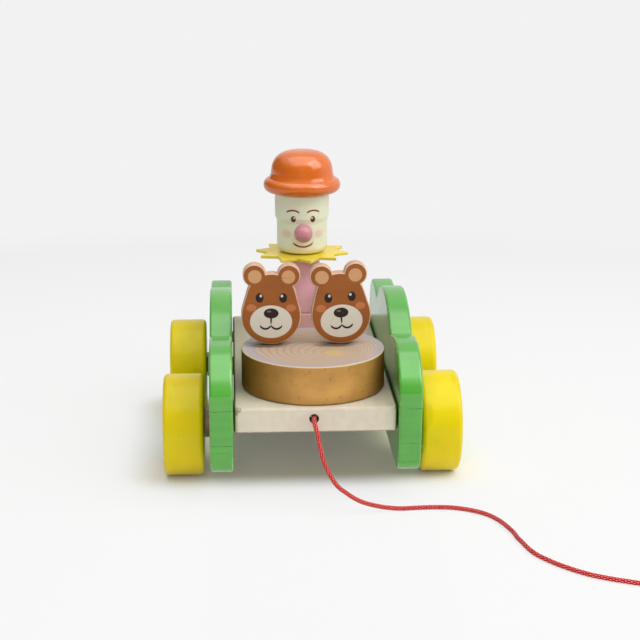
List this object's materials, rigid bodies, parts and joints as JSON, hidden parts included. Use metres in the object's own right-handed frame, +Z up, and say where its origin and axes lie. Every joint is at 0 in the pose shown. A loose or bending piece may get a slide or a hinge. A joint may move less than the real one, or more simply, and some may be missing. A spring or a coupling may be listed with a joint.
{
  "type": "pull-along toy car",
  "caption": "Wooden pull-along toy car with scalloped side boards, bear heads that rock on arms over a stump, a turned figure in a hat behind them and a red pull cord.",
  "frame": {"origin": "on the floor under the middle of the car, the cord left out", "axes": "-Y forward, the way it is pulled; +X to the right seen from the front; +Z up"},
  "size_m": [0.2516, 0.2748, 0.1447],
  "materials": {
    "green_paint": "gloss green lacquer on wood",
    "yellow_paint": "gloss yellow lacquer on wood",
    "orange_paint": "high-gloss orange lacquer on wood",
    "pink_paint": "satin pink lacquer on wood",
    "pale_pink_paint": "satin pale pink lacquer on wood",
    "cream_paint": "satin cream lacquer on wood",
    "brown_paint": "satin brown paint on plywood",
    "yellow_foam": "matte yellow foam sheet",
    "limewash": "pale limewashed softwood, matte",
    "bark_print": "brown bark tones with pale ring lines, satin",
    "raw_wood": "bare beech, sanded",
    "steel": "plain steel wire and screws",
    "red_cord": "red braided cord",
    "paper_tie": "matte paper band"
  },
  "bodies": {
    "car": {"deck": "limewash", "stump": "bark_print", "figure_foot": "pale_pink_paint", "figure_body": "pink_paint", "figure_collar": "yellow_foam", "figure_head": "cream_paint", "figure_nose": "pink_paint", "figure_hat": "orange_paint", "figure_spindle": "raw_wood", "pivot_pin": "steel", "side_panel_left": "green_paint", "panel_dowel_left_front": "raw_wood", "panel_dowel_left_middle": "raw_wood", "panel_dowel_left_rear": "raw_wood", "stump_screw_left": "steel", "pivot_cap_left": "raw_wood", "side_panel_right": "green_paint", "panel_dowel_right_front": "raw_wood", "panel_dowel_right_middle": "raw_wood", "panel_dowel_right_rear": "raw_wood", "stump_screw_right": "steel", "pivot_cap_right": "raw_wood", "cord_anchor_knot": "red_cord", "pull_cord": "red_cord", "cord_coil": "red_cord", "cord_tie": "paper_tie", "cord_end_knot": "red_cord"},
    "front_axle": {"front_axle": "raw_wood", "spacer_front_left": "raw_wood", "spacer_front_right": "raw_wood", "wheel_front_left": "yellow_paint", "wheel_front_right": "yellow_paint"},
    "rear_axle": {"rear_axle": "raw_wood", "spacer_rear_left": "raw_wood", "spacer_rear_right": "raw_wood", "wheel_rear_left": "yellow_paint", "wheel_rear_right": "yellow_paint", "cam_left": "raw_wood", "cam_right": "raw_wood"},
    "left_striker": {"arm_left": "raw_wood", "bear_left": "brown_paint"},
    "right_striker": {"arm_right": "raw_wood", "bear_right": "brown_paint"}
  },
  "joints": [
    {"name": "front_axle_spin", "type": "hinge", "parent": "car", "child": "front_axle", "pos_m": [0, -0.0382, 0.025], "axis": [1, 0, 0], "continuous": true},
    {"name": "rear_axle_spin", "type": "hinge", "parent": "car", "child": "rear_axle", "pos_m": [0, 0.0627, 0.025], "axis": [1, 0, 0], "continuous": true},
    {"name": "left_strike", "type": "hinge", "parent": "car", "child": "left_striker", "pos_m": [-0.017, 0.0627, 0.0713], "axis": [-1, 0, 0], "range_deg": [0, 8]},
    {"name": "right_strike", "type": "hinge", "parent": "car", "child": "right_striker", "pos_m": [0.017, 0.0627, 0.0713], "axis": [-1, 0, 0], "range_deg": [0, 8]}
  ]
}
